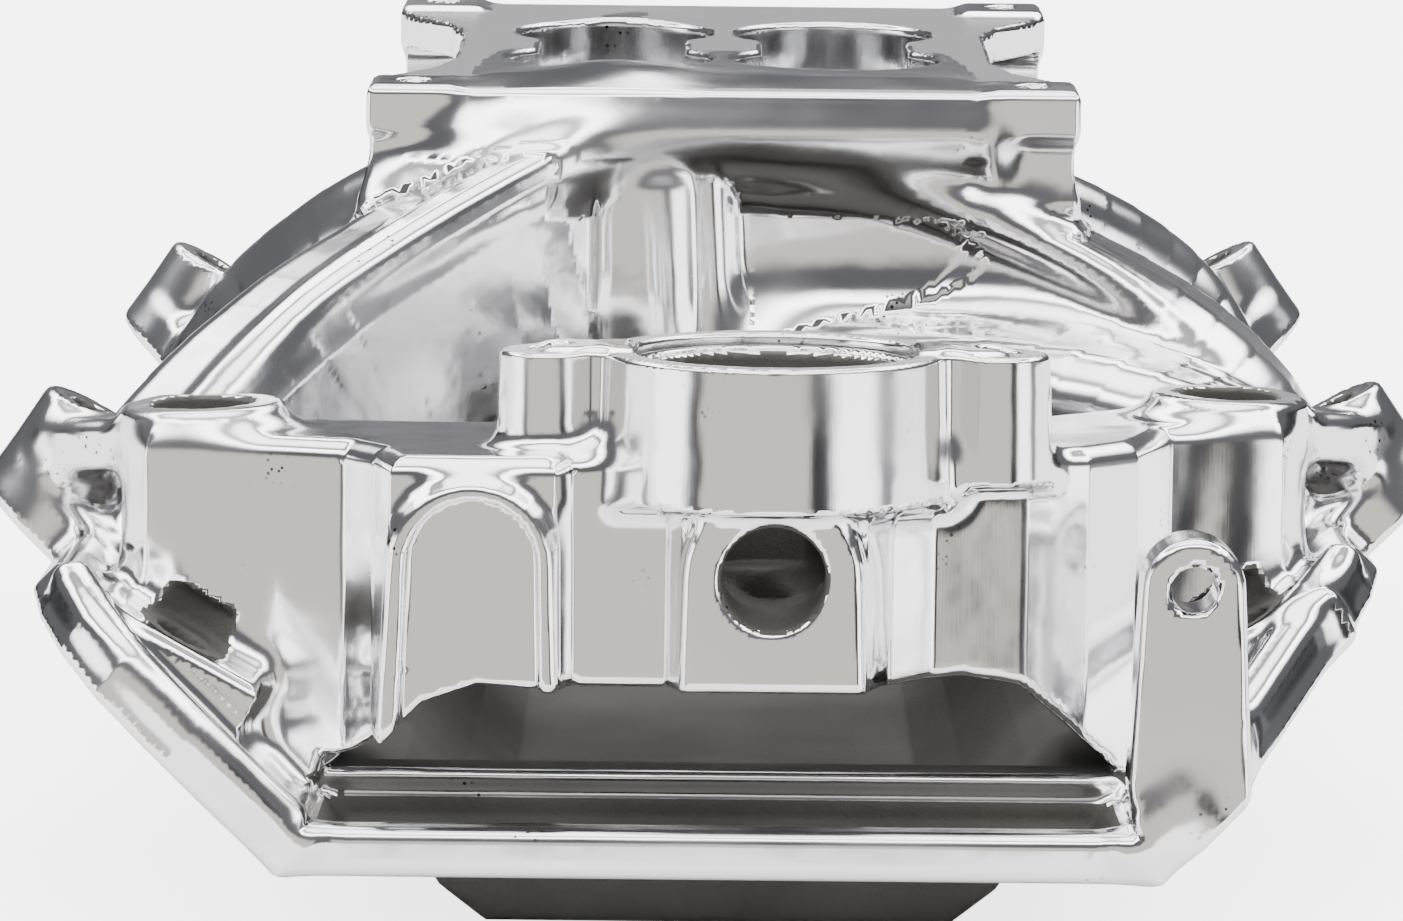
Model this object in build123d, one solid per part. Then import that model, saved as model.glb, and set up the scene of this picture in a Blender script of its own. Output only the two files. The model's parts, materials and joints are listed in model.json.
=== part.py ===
"""Dual-plane V8 intake manifold with an air gap between its runners and its valley tray.

One aluminium casting, divided into its named regions. +X is the right bank, +Y the rear of the
engine and +Z up. The origin is the middle of the casting at the level of its lowest face.
"""

from build123d import *
import math
import os

# ---------------------------------------------------------------- driving dimensions, mm and degrees
WALL = 4.5                      # casting wall of ducts and chambers

# Carburettor pad: square flange, tilted so that it is level when the engine sits nose up.
PAD_Y = -7.0                    # pad centre behind (+) or ahead (-) of the origin
PAD_Z = 156.8                   # top of the pad at its centre
PAD_TILT = 3.2                  # the front edge is lower
PAD_BOLT_X = 131.0
PAD_BOLT_Y = 143.0
PAD_EDGE = 8.4                  # metal beyond a stud hole's centre
PAD_WAIST = 59.0                # half width between the corner lugs
PAD_THICK = 9.0
PAD_POST_DEPTH = 27.0           # corner posts run this far below the top
PAD_STUD_R = 3.3                # tapped for a 5/16 inch stud
PAD_STUD_DEPTH = 22.0
THROTTLE_R = 22.0
THROTTLE_X = 24.7               # half spacing of the bores across the engine
THROTTLE_Y = 25.0               # half spacing along the engine

# Plenum: a deep left chamber that runs under a shallow right chamber.
PLENUM_HALF_X = 54.0
PLENUM_HALF_Y = 68.0
PLENUM_FLOOR_Z = 82.0
UPPER_FLOOR_Z = 112.0
DIVIDER_THICK = 5.6
DIVIDER_NOTCH = 9.0             # the divider stops this far below the pad's top
DIVIDER_NOTCH_LENGTH = 58.0

# Head flanges: flat faces on the two banks' cylinder heads.
BANK_OFFSET = 15.0              # the left bank is this far forward, the right as far back
FLANGE_ANGLE = 45.0             # gasket face from the horizontal
FLANGE_TOE_X = 83.9             # lower outer corner of the gasket face
FLANGE_TOE_Z = 16.0
FLANGE_HEIGHT = 66.0            # along the face
FLANGE_THICK = 12.0
RAIL_FRONT = -239.0             # ends of the two rails and of the flanges' toes
RAIL_REAR = 247.0
SHOULDER_NEAR = 213.0           # upper end corner, on the bank end that is nearer
SHOULDER_FAR = 172.0            # and on the end that is set back
PORT_PAIR_Y = 111.8             # centre of a port pair from the bank's centre
PORT_HALF_PITCH = 19.5
PORT_WIDTH = 27.4
PORT_HEIGHT = 48.0
PORT_MID = 39.0                 # centre of a port up the face
HEAD_BOLT_R = 5.2
HEAD_BOLT_TILT = 29.0           # bolt axes from the vertical
EAR_Y = 144.0                   # upper bolts from the bank's centre
EAR_UP = 76.0
EAR_R = 13.0
LOW_BOLT_Y = 28.0
LOW_BOLT_UP = 33.0
END_BOLT_Y = 200.0
END_BOLT_UP = 38.0
EAR_BOSS = 27.0                 # seat above the gasket face, along the bolt
LOW_BOSS = 17.0
BOSS_R = 12.0
BOLT_ROOM_R = 9.0               # room above each seat for a bolt's head
BOLT_ROOM = 30.0
END_BOLT_ROOM = 50.0            # the end bolts also pass the crossover's top corner

# Water crossover at the front and its fittings.
CROSS_FRONT = -236.0
CROSS_PLAN = [                  # seen from above, its ends fall back to the coolant bosses
    (-120, -203), (-90, -203), (-64, -236), (34, -236), (47, -222), (80, -204), (94, -175), (120, -173),
    (120, -138), (80, -144), (60, -166), (20, -182), (-60, -180), (-120, -174),
]
CROSS_TOP = 95.0
CROSS_HALF_X = 108.0
CROSS_LOW = 51.5
OPENING_LOW_HALF = 74.5         # opening under the crossover
OPENING_TOP_HALF = 50.0
WATER_R = 11.0
WATER_Z = 74.0
WATER_UP = 42.0                 # water port up the gasket face
WATER_IN = 30.0                 # from the gasket face in to the crossover's own bore
NECK_X = 9.8
NECK_Y = -214.0
NECK_TOP = 113.4
NECK_R = 33.0
NECK_BORE_R = 24.0
NECK_THROAT_R = 16.0            # from the bore down to the water passage
NECK_THROAT_TOP = 91.0
NECK_SEAT_R = 27.4              # seat of a 54 mm thermostat
NECK_SEAT_DEPTH = 3.2
NECK_BOLT_PITCH = 85.4
NECK_LUG_R = 9.5
NECK_BOLT_R = 4.0
NECK_BOLT_DEPTH = 20.0
SIDE_PORT_X = 100.8
SIDE_PORT_TOP = 98.8
SIDE_PORT_R = 16.0
SIDE_PORT_BORE_R = 9.4
SIDE_PORT_BACK = 175.0          # ahead of each bank's centre
BYPASS_Z = 73.2
BYPASS_R = 15.8
BYPASS_BORE_R = 9.8
BYPASS_PROUD = 5.0
BYPASS_FOOT_HALF = 16.9
BLANK_X = -46.8
BLANK_R = 14.6
BLANK_Z = 75.0
BLANK_FOOT_Z = 52.0
BLANK_PROUD = 3.0
BLANK_RIM = 3.2
BRACKET_X = 88.3
BRACKET_Z = 72.4
BRACKET_R = 9.4
BRACKET_FOOT_HALF = 12.0
BRACKET_FOOT_Z = 26.0
BRACKET_BORE_R = 4.4
BRACKET_FRONT = -243.0
BRACKET_BACK = -228.0

# End rails, valley tray and distributor boss.
RAIL_HEIGHT = 11.0
RAIL_WIDTH = 34.0
TRAY_BRIM_Z = 31.0
TRAY_SHELF_HALF = 60.0          # half width of the tray's deep channel at its top
TRAY_FLOOR_HALF = 45.0
TRAY_WALL = 4.5
DISTRIBUTOR_Y = 172.0
DISTRIBUTOR_R = 28.0
DISTRIBUTOR_BORE_R = 22.5
DISTRIBUTOR_TOP = 62.0
REAR_BOSS_R = 15.0
REAR_BOSS_TOP = 96.0
VACUUM_X = 24.0
VACUUM_Z = 131.0
VACUUM_R = 11.0
VACUUM_BORE_R = 7.4
VACUUM_LENGTH = 14.0

# ---------------------------------------------------------------- derived places
RUN = math.cos(math.radians(FLANGE_ANGLE))
RISE = math.sin(math.radians(FLANGE_ANGLE))
PAD_HALF_X = PAD_BOLT_X / 2 + PAD_EDGE
PAD_HALF_Y = PAD_BOLT_Y / 2 + PAD_EDGE
RAIL_TOP = FLANGE_TOE_Z + RAIL_HEIGHT
PAD = Plane(Location((0, PAD_Y, PAD_Z), (PAD_TILT, 0, 0)))
SIDES = {"left": -1, "right": 1}
LONG = 600.0                    # longer than the casting, for cutting tools
CRUMB = 100.0                   # mm3; slips of metal smaller than this are left out


def box(x, y, z):
    """A box from its two limits along each axis."""
    size = [high - low for low, high in (x, y, z)]
    middle = [(high + low) / 2 for low, high in (x, y, z)]
    return Pos(*middle) * Box(*size)


def rod(start, direction, length, radius):
    """A cylinder from a start point along a direction."""
    return Plane(origin=start, z_dir=direction) * extrude(Circle(radius), length)


def face_plane(side):
    """The gasket face's frame: x along the bank, y up the face, z out of the casting."""
    origin = (side * FLANGE_TOE_X, side * BANK_OFFSET, FLANGE_TOE_Z)
    return Plane(origin=origin, x_dir=(0, side, 0), z_dir=(side * RISE, 0, -RUN))


def on_face(side, along, up, out=0.0):
    """A point on a bank's gasket face, `along` behind the bank's centre and `up` the face."""
    x = side * (FLANGE_TOE_X + up * RUN + out * RISE)
    return (x, side * BANK_OFFSET + along, FLANGE_TOE_Z + up * RISE - out * RUN)


def bolt_direction(side):
    """Up a head bolt's axis, towards its head."""
    tilt = math.radians(HEAD_BOLT_TILT)
    return (-side * math.sin(tilt), 0, math.cos(tilt))


def outside_faces(side):
    """Everything beyond a bank's gasket face, for trimming what meets it."""
    return face_plane(side) * Pos(0, 0, LONG / 2) * Box(LONG, LONG, LONG)


def duct(stations, grow):
    """A lofted duct through (centre, direction, width, height) stations, grown by `grow` all round."""
    sections = []
    for centre, direction, width, height in stations:
        flat = math.hypot(direction[0], direction[1])
        across = (-direction[1] / flat, direction[0] / flat, 0)
        plane = Plane(origin=centre, x_dir=across, z_dir=direction)
        sections.append(plane * Rectangle(width + 2 * grow, height + 2 * grow))
    return loft(sections)


# ---------------------------------------------------------------- carburettor pad and plenum
def pad_outline():
    """The pad seen from above: four corner lugs with a waist on each side."""
    lug = 2 * PAD_EDGE + 6
    points = [
        (PAD_HALF_X, PAD_HALF_Y),
        (PAD_HALF_X, PAD_HALF_Y - lug),
        (PAD_WAIST, PAD_HALF_Y - lug - 16),
        (PAD_WAIST, -PAD_HALF_Y + lug + 16),
        (PAD_HALF_X, -PAD_HALF_Y + lug),
        (PAD_HALF_X, -PAD_HALF_Y),
    ]
    mirrored = [(-x, y) for x, y in reversed(points)]
    return make_face(Polyline(*points, *mirrored, close=True))


def carburettor_pad():
    plate = Pos(0, 0, -PAD_THICK) * extrude(pad_outline(), PAD_THICK)
    post = Pos(0, 0, -PAD_POST_DEPTH) * extrude(
        RectangleRounded(2 * PAD_EDGE, 2 * PAD_EDGE, 4), PAD_POST_DEPTH
    )
    stud = Pos(0, 0, -PAD_STUD_DEPTH) * extrude(Circle(PAD_STUD_R), LONG)
    for place in GridLocations(PAD_BOLT_X, PAD_BOLT_Y, 2, 2):
        plate += place * post
    for place in GridLocations(PAD_BOLT_X, PAD_BOLT_Y, 2, 2):
        plate -= place * stud
    return PAD * plate


def throttle_openings():
    """Two openings, each of two bores joined, through the pad."""
    cut = None
    for side in (-1, 1):
        for end in (-1, 1):
            bore = Pos(side * THROTTLE_X, end * THROTTLE_Y, -PAD_THICK - 1) * extrude(
                Circle(THROTTLE_R), PAD_THICK + 2
            )
            cut = bore if cut is None else cut + bore
        slot = Pos(side * THROTTLE_X, 0, -PAD_THICK / 2) * Box(
            2 * THROTTLE_R - 4, 2 * THROTTLE_Y, PAD_THICK + 2
        )
        cut += slot
    return PAD * cut


def under_pad():
    """Everything below the pad's plate, for trimming what stands under it."""
    return PAD * Pos(0, 0, -PAD_THICK - LONG / 2) * Box(LONG, LONG, LONG)


def plenum_block(inset):
    """The plenum's outside, or with the wall's thickness as inset its whole inside."""
    x = (-PLENUM_HALF_X + inset, PLENUM_HALF_X - inset)
    y = (PAD_Y - PLENUM_HALF_Y + inset, PAD_Y + PLENUM_HALF_Y - inset)
    return box(x, y, (PLENUM_FLOOR_Z + inset, PAD_Z)) & under_pad()


def chamber_voids():
    """The two chambers: the left is full height and carries on under the right."""
    y = (PAD_Y - PLENUM_HALF_Y + WALL, PAD_Y + PLENUM_HALF_Y - WALL)
    inner = PLENUM_HALF_X - WALL
    half = DIVIDER_THICK / 2
    floor = PLENUM_FLOOR_Z + WALL
    left = box((-inner, -half), y, (floor, PAD_Z)) & under_pad()
    under = box((-half, inner), y, (floor, UPPER_FLOOR_Z - WALL))
    right = box((half, inner), y, (UPPER_FLOOR_Z, PAD_Z)) & under_pad()
    return left + under, right


def plenum_divider():
    half = DIVIDER_THICK / 2
    y = (PAD_Y - PLENUM_HALF_Y + WALL, PAD_Y + PLENUM_HALF_Y - WALL)
    wall = box((-half, half), y, (UPPER_FLOOR_Z, PAD_Z)) & under_pad()
    notch_low = PAD_Z - DIVIDER_NOTCH - PAD_THICK
    notch_y = (PAD_Y - DIVIDER_NOTCH_LENGTH / 2, PAD_Y + DIVIDER_NOTCH_LENGTH / 2)
    return wall - box((-half - 1, half + 1), notch_y, (notch_low, PAD_Z))


def upper_floor():
    y = (PAD_Y - PLENUM_HALF_Y + WALL, PAD_Y + PLENUM_HALF_Y - WALL)
    return box((-DIVIDER_THICK / 2, PLENUM_HALF_X - WALL), y, (UPPER_FLOOR_Z - WALL, UPPER_FLOOR_Z))


# ---------------------------------------------------------------- runners
def port_station(side, along):
    centre = on_face(side, along, PORT_MID)
    return (centre, (side * RISE, 0, -RUN), PORT_WIDTH, PORT_HEIGHT)


def runner_stations(side, end, outer):
    """From the plenum to a port. `end` is -1 at the front; `outer` runners serve the ends."""
    along = end * (PORT_PAIR_Y + (PORT_HALF_PITCH if outer else -PORT_HALF_PITCH))
    port = port_station(side, along)
    port_y = port[0][1]
    upper = (side < 0) == outer
    high = 127.0 if upper else 97.5
    tall = 26.0 if upper else 20.0
    if outer:
        start_y = PAD_Y + end * (PLENUM_HALF_Y - WALL - 0.5)
        start = (side * 22.0, start_y, high)
        begin = (start, (side * 0.55, end * 0.83, 0), 40.0, tall)
        bend = (side * 66.0, (start_y + 1.6 * port_y) / 2.6, high - 22 if upper else high - 9)
        middle = (bend, (side * 0.86, end * 0.36, -0.36), 34.0, 33.0)
    else:
        start_y = PAD_Y + end * 28.0
        start = (side * (PLENUM_HALF_X - WALL - 0.5), start_y, high)
        begin = (start, (side, 0, 0), 40.0, tall)
        bend = (side * 86.0, (start_y + 2.0 * port_y) / 3.0, high - 20 if upper else high - 8)
        middle = (bend, (side * 0.8, end * 0.2, -0.56), 30.0, 34.0)
    low_point = on_face(side, along, PORT_MID, -16.0)
    last = (low_point, (side * RISE, 0, -RUN), PORT_WIDTH, PORT_HEIGHT)
    return [begin, middle, last, port]


RUNNERS = {
    "runner_left_front_outer": (-1, -1, True),
    "runner_left_front_inner": (-1, -1, False),
    "runner_left_rear_inner": (-1, 1, False),
    "runner_left_rear_outer": (-1, 1, True),
    "runner_right_front_outer": (1, -1, True),
    "runner_right_front_inner": (1, -1, False),
    "runner_right_rear_inner": (1, 1, False),
    "runner_right_rear_outer": (1, 1, True),
}


# ---------------------------------------------------------------- head flanges
def shoulder(side, end):
    """How far along the bank the flange's upper end corner lies, from the origin."""
    return end * (SHOULDER_NEAR if side == end else SHOULDER_FAR)


def head_bolts(side):
    """(along, up, boss height) of each of a bank's bolts."""
    rows = []
    for end in (-1, 1):
        rows.append((end * END_BOLT_Y, END_BOLT_UP, LOW_BOSS))
        rows.append((end * EAR_Y, EAR_UP, EAR_BOSS))
        rows.append((end * LOW_BOLT_Y, LOW_BOLT_UP, LOW_BOSS))
    return rows


def head_flange(side):
    """Plate with raised bolt ears, seen along the bank and set on the gasket face."""
    toe = [(RAIL_FRONT - side * BANK_OFFSET, 0), (RAIL_REAR - side * BANK_OFFSET, 0)]
    tops = [shoulder(side, end) - side * BANK_OFFSET for end in (1, -1)]
    outline = toe + [(tops[0], FLANGE_HEIGHT), (tops[1], FLANGE_HEIGHT)]
    points = [(side * along, up) for along, up in outline]
    sketch = make_face(Polyline(*points, close=True))
    for end in (-1, 1):
        sketch += Pos(side * end * EAR_Y, EAR_UP) * Circle(EAR_R)
        neck = Pos(side * end * EAR_Y, (EAR_UP + FLANGE_HEIGHT) / 2 - 4)
        sketch += neck * Rectangle(2 * EAR_R, EAR_UP - FLANGE_HEIGHT + 8)
    return face_plane(side) * Pos(0, 0, -FLANGE_THICK) * extrude(sketch, FLANGE_THICK)


def along_bolt(side, along, up, distance):
    """A point on a head bolt's axis, `distance` above the gasket face."""
    foot = on_face(side, along, up)
    return tuple(a + distance * b for a, b in zip(foot, bolt_direction(side)))


def bolt_bosses(side):
    """Seats for the head bolts, standing up out of the flange along the bolts."""
    bosses = None
    for along, up, height in head_bolts(side):
        start = along_bolt(side, along, up, -BOSS_R)
        boss = rod(start, bolt_direction(side), height + BOSS_R, BOSS_R)
        bosses = boss if bosses is None else bosses + boss
    return bosses - outside_faces(side)


def head_bolt_holes(side):
    """Each bolt's hole, with room above the seat for the bolt's head."""
    holes = None
    for along, up, height in head_bolts(side):
        start = along_bolt(side, along, up, -2 * BOSS_R)
        hole = rod(start, bolt_direction(side), 2 * BOSS_R + height + 1, HEAD_BOLT_R)
        room = END_BOLT_ROOM if abs(along) == END_BOLT_Y else BOLT_ROOM
        hole += rod(along_bolt(side, along, up, height), bolt_direction(side), room, BOLT_ROOM_R)
        holes = hole if holes is None else holes + hole
    return holes


# ---------------------------------------------------------------- water crossover and its fittings
def arch(half_width, arch_z, foot_half, foot_z, y):
    """An arched tombstone shape in the front view, extruded between two Y limits."""
    width = sum(
        (
            Polyline((-foot_half, foot_z), (foot_half, foot_z), (half_width, arch_z)),
            RadiusArc((half_width, arch_z), (-half_width, arch_z), -half_width),
            Polyline((-half_width, arch_z), (-foot_half, foot_z)),
        ),
        Curve(),
    )
    front = Plane(origin=(0, y[1], 0), x_dir=(1, 0, 0), z_dir=(0, -1, 0))
    return front * extrude(make_face(width), y[1] - y[0])


def front_opening():
    """The arch-shaped gap below the crossover, in front view."""
    points = [
        (-OPENING_LOW_HALF, RAIL_TOP),
        (-OPENING_TOP_HALF, CROSS_LOW),
        (OPENING_TOP_HALF, CROSS_LOW),
        (OPENING_LOW_HALF, RAIL_TOP),
    ]
    front = Plane(origin=(0, -120, 0), x_dir=(1, 0, 0), z_dir=(0, -1, 0))
    return front * extrude(make_face(Polyline(*points, close=True)), 130)


def flange_prism(y, top):
    """The solid between the two flanges' inner faces, from the rail's top to a height."""
    inset = FLANGE_THICK / RISE
    low_half = FLANGE_TOE_X - inset + RAIL_HEIGHT
    high = low_half + (top - RAIL_TOP)
    reach = min(high, CROSS_HALF_X)
    knee = RAIL_TOP + reach - low_half
    half = [(low_half, RAIL_TOP), (reach, knee)]
    if knee < top:
        half.append((reach, top))
    points = half + [(-x, z) for x, z in reversed(half)]
    front = Plane(origin=(0, y[1], 0), x_dir=(1, 0, 0), z_dir=(0, -1, 0))
    return front * extrude(make_face(Polyline(*points, close=True)), y[1] - y[0])


def water_crossover():
    """The hollow bridge between the banks."""
    plan = extrude(make_face(Polyline(*CROSS_PLAN, close=True)), 2 * CROSS_TOP)
    return (flange_prism((CROSS_FRONT, -130), CROSS_TOP) & plan) - front_opening()


def water_port(side):
    """How far a bank's water port lies along the bank from its centre."""
    return -SIDE_PORT_BACK + side * 2.0


def water_passage():
    """The bore through the crossover and its turns down to the two banks' water ports."""
    cut = rod((NECK_X, NECK_Y, WATER_Z), (0, 0, 1), NECK_THROAT_TOP - WATER_Z + 1, NECK_THROAT_R)
    cut += rod((NECK_X, NECK_Y, NECK_THROAT_TOP), (0, 0, 1), NECK_TOP, NECK_BORE_R)
    cut += rod((NECK_X, NECK_Y, NECK_TOP - NECK_SEAT_DEPTH), (0, 0, 1), NECK_TOP, NECK_SEAT_R)
    for side in (-1, 1):
        out = on_face(side, water_port(side), WATER_UP, 1.0)
        inside = on_face(side, water_port(side), WATER_UP, -WATER_IN)
        cut += rod(out, (-side * RISE, 0, RUN), WATER_IN + 1, WATER_R - 1)
        cut += Pos(*inside) * Sphere(WATER_R)
        reach = Vector(NECK_X, NECK_Y, WATER_Z) - Vector(*inside)
        cut += rod(inside, reach, reach.length, WATER_R)
    return cut


def thermostat_neck():
    low = CROSS_TOP
    neck = rod((NECK_X, NECK_Y, low), (0, 0, 1), NECK_TOP - low, NECK_R)
    for side in (-1, 1):
        x = NECK_X + side * NECK_BOLT_PITCH / 2
        neck += rod((x, NECK_Y, low), (0, 0, 1), NECK_TOP - low, NECK_LUG_R)
        middle = (NECK_X + x) / 2
        half = abs(x - NECK_X) / 2
        web = NECK_LUG_R - 1.5
        neck += box((middle - half, middle + half), (NECK_Y - web, NECK_Y + web), (low, NECK_TOP))
    return neck


def neck_bolt_holes():
    holes = None
    for side in (-1, 1):
        x = NECK_X + side * NECK_BOLT_PITCH / 2
        start = (x, NECK_Y, NECK_TOP - NECK_BOLT_DEPTH)
        hole = rod(start, (0, 0, 1), NECK_BOLT_DEPTH + 1, NECK_BOLT_R)
        holes = hole if holes is None else holes + hole
    return holes


def side_port_place(side):
    return (side * SIDE_PORT_X, side * BANK_OFFSET - SIDE_PORT_BACK)


def side_port_boss(side):
    x, y = side_port_place(side)
    boss = rod((x, y, 50.0), (0, 0, 1), SIDE_PORT_TOP - 50.0, SIDE_PORT_R)
    inner_face = face_plane(side) * Pos(0, 0, LONG / 2 - FLANGE_THICK) * Box(LONG, LONG, LONG)
    return boss - inner_face


def side_port_bore(side):
    x, y = side_port_place(side)
    return rod((x, y, WATER_Z), (0, 0, 1), SIDE_PORT_TOP - WATER_Z + 1, SIDE_PORT_BORE_R)


def bypass_port_pad():
    y = (CROSS_FRONT - BYPASS_PROUD, CROSS_FRONT)
    return Pos(NECK_X, 0, 0) * arch(BYPASS_R, BYPASS_Z, BYPASS_FOOT_HALF, CROSS_LOW, y)


def bypass_bore():
    depth = NECK_Y - CROSS_FRONT + BYPASS_PROUD
    start = (NECK_X, CROSS_FRONT - BYPASS_PROUD - 1, BYPASS_Z)
    return rod(start, (0, 1, 0), depth + 1, BYPASS_BORE_R)


def blank_port_pad():
    """A raised arch-shaped rim round a pocket, where another version has a port."""
    y = (CROSS_FRONT - BLANK_PROUD, CROSS_FRONT)
    rim = arch(BLANK_R, BLANK_Z, BLANK_R + 1, BLANK_FOOT_Z, y)
    inner = BLANK_R - BLANK_RIM
    rim -= arch(inner, BLANK_Z, inner, BLANK_FOOT_Z - 1, (y[0] - 1, y[1] + 1))
    return Pos(BLANK_X, 0, 0) * rim


def bracket_lug():
    """The tall lug at the right, which takes an accessory bracket's bolt."""
    y = (BRACKET_FRONT, BRACKET_BACK)
    lug = arch(BRACKET_R, BRACKET_Z, BRACKET_FOOT_HALF, BRACKET_FOOT_Z, y)
    return Pos(BRACKET_X, 0, 0) * lug


def bracket_bore():
    length = BRACKET_BACK - BRACKET_FRONT + 2
    return rod((BRACKET_X, BRACKET_FRONT - 1, BRACKET_Z), (0, 1, 0), length, BRACKET_BORE_R)


# ---------------------------------------------------------------- end rails, valley tray, rear bosses
def end_rail(end):
    """A bar across the end wall of the block, between the flanges."""
    inset = FLANGE_THICK / RISE
    low = FLANGE_TOE_X - inset
    points = [(-low, FLANGE_TOE_Z), (low, FLANGE_TOE_Z)]
    points += [(low + RAIL_HEIGHT, RAIL_TOP), (-low - RAIL_HEIGHT, RAIL_TOP)]
    front = Plane(origin=(0, 0, 0), x_dir=(1, 0, 0), z_dir=(0, -1, 0))
    bar = front * extrude(make_face(Polyline(*points, close=True)), RAIL_WIDTH)
    return Pos(0, RAIL_FRONT + RAIL_WIDTH if end < 0 else RAIL_REAR, 0) * bar


def tray_outline(inset):
    """The tray in front view: shelves on the flanges and a deep channel between them."""
    brim = FLANGE_TOE_X - FLANGE_THICK / RISE + TRAY_BRIM_Z - FLANGE_TOE_Z
    drop = TRAY_BRIM_Z - FLANGE_TOE_Z - 7
    half = [
        (brim - 2.2 * inset, TRAY_BRIM_Z + (1 if inset else 0)),
        (brim - drop - 1.4 * inset, TRAY_BRIM_Z - drop + 0.6 * inset),
        (TRAY_SHELF_HALF - 0.4 * inset, FLANGE_TOE_Z + inset),
        (TRAY_FLOOR_HALF - 0.4 * inset, inset),
    ]
    points = half + [(-x, z) for x, z in reversed(half)]
    return make_face(Polyline(*points, close=True))


def valley_tray():
    """The pan that closes the valley and leaves the air gap under the runners."""
    length = RAIL_REAR - RAIL_FRONT - 2 * RAIL_WIDTH
    front = Plane(origin=(0, RAIL_REAR - RAIL_WIDTH, 0), x_dir=(1, 0, 0), z_dir=(0, -1, 0))
    pan = front * extrude(tray_outline(0), length)
    hollow = front * Pos(0, 0, TRAY_WALL) * extrude(tray_outline(TRAY_WALL), length - 2 * TRAY_WALL)
    return pan - hollow


def distributor_boss():
    return rod((0, DISTRIBUTOR_Y, 0), (0, 0, 1), DISTRIBUTOR_TOP, DISTRIBUTOR_R)


def distributor_bore():
    return rod((0, DISTRIBUTOR_Y, -1), (0, 0, 1), DISTRIBUTOR_TOP + 2, DISTRIBUTOR_BORE_R)


def rear_boss_place(side):
    return (side * SIDE_PORT_X, side * BANK_OFFSET + SIDE_PORT_BACK)


def rear_water_boss(side):
    """A blind boss over the head's rear water port."""
    x, y = rear_boss_place(side)
    boss = rod((x, y, 50.0), (0, 0, 1), REAR_BOSS_TOP - 50.0, REAR_BOSS_R)
    inner_face = face_plane(side) * Pos(0, 0, LONG / 2 - FLANGE_THICK) * Box(LONG, LONG, LONG)
    return boss - inner_face


def rear_water_pocket(side):
    return rod(on_face(side, SIDE_PORT_BACK, WATER_UP, 1.0), (-side * RISE, 0, RUN), 24.0, WATER_R - 1)


def vacuum_boss():
    start = (VACUUM_X, PAD_Y + PLENUM_HALF_Y, VACUUM_Z)
    return rod(start, (0, 1, 0), VACUUM_LENGTH, VACUUM_R)


def vacuum_bore():
    start = (VACUUM_X, PAD_Y + PLENUM_HALF_Y - WALL - 1, VACUUM_Z)
    return rod(start, (0, 1, 0), VACUUM_LENGTH + WALL + 2, VACUUM_BORE_R)


# ---------------------------------------------------------------- assembly
def touches(a, b):
    """Whether two shapes' bounding boxes meet."""
    one, two = a.bounding_box(), b.bounding_box()
    lows = zip(tuple(one.min), tuple(two.max))
    highs = zip(tuple(two.min), tuple(one.max))
    return all(low <= high for low, high in lows) and all(low <= high for low, high in highs)


def build():
    """Every region by name. Each gives way to the regions before it, so none overlap."""
    chamber_left, chamber_right = chamber_voids()
    outers = {"carburettor_pad": carburettor_pad(), "plenum_divider": plenum_divider()}
    outers["upper_chamber_floor"] = upper_floor()
    outers["plenum_chamber"] = plenum_block(0) - plenum_block(WALL)
    for word, side in SIDES.items():
        outers["head_bolt_seats_" + word] = bolt_bosses(side)
    for word, side in SIDES.items():
        outers["head_flange_" + word] = head_flange(side)
    ducts = []
    for name, key in RUNNERS.items():
        stations = runner_stations(*key)
        outers[name] = duct(stations, WALL)
        ducts.append(duct(stations, 0))
    outers["bypass_port_pad"] = bypass_port_pad()
    outers["blank_port_pad"] = blank_port_pad()
    outers["bracket_lug"] = bracket_lug()
    outers["thermostat_neck"] = thermostat_neck()
    for word, side in SIDES.items():
        outers["coolant_port_boss_" + word] = side_port_boss(side)
    outers["water_crossover"] = water_crossover()
    outers["front_end_rail"] = end_rail(-1)
    outers["rear_end_rail"] = end_rail(1)
    outers["distributor_boss"] = distributor_boss()
    outers["valley_tray"] = valley_tray()
    for word, side in SIDES.items():
        outers["rear_water_boss_" + word] = rear_water_boss(side)
    outers["vacuum_port_boss"] = vacuum_boss()

    voids = [throttle_openings(), chamber_left, chamber_right, *ducts, water_passage()]
    voids += [neck_bolt_holes(), bypass_bore(), bracket_bore(), distributor_bore(), vacuum_bore()]
    for side in SIDES.values():
        voids += [side_port_bore(side), rear_water_pocket(side), head_bolt_holes(side)]
    made = {}
    for name, shape in outers.items():
        cutters = [outers[other] for other in made if touches(shape, outers[other])]
        if name not in ("plenum_divider", "upper_chamber_floor"):
            cutters += [void for void in voids if touches(shape, void)]
        for cutter in cutters:
            shape = shape - cutter
        made[name] = [solid for solid in shape.solids() if solid.volume > CRUMB]
    return made


if __name__ == "__main__":
    os.makedirs("parts", exist_ok=True)
    for name, solids in build().items():
        print(name, len(solids), round(sum(solid.volume for solid in solids)))
        export_step(Compound(children=solids), f"parts/{name}.step")
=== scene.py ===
"""A polished aluminium V8 intake manifold, cast in one pour and then cut into its named regions."""

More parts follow.
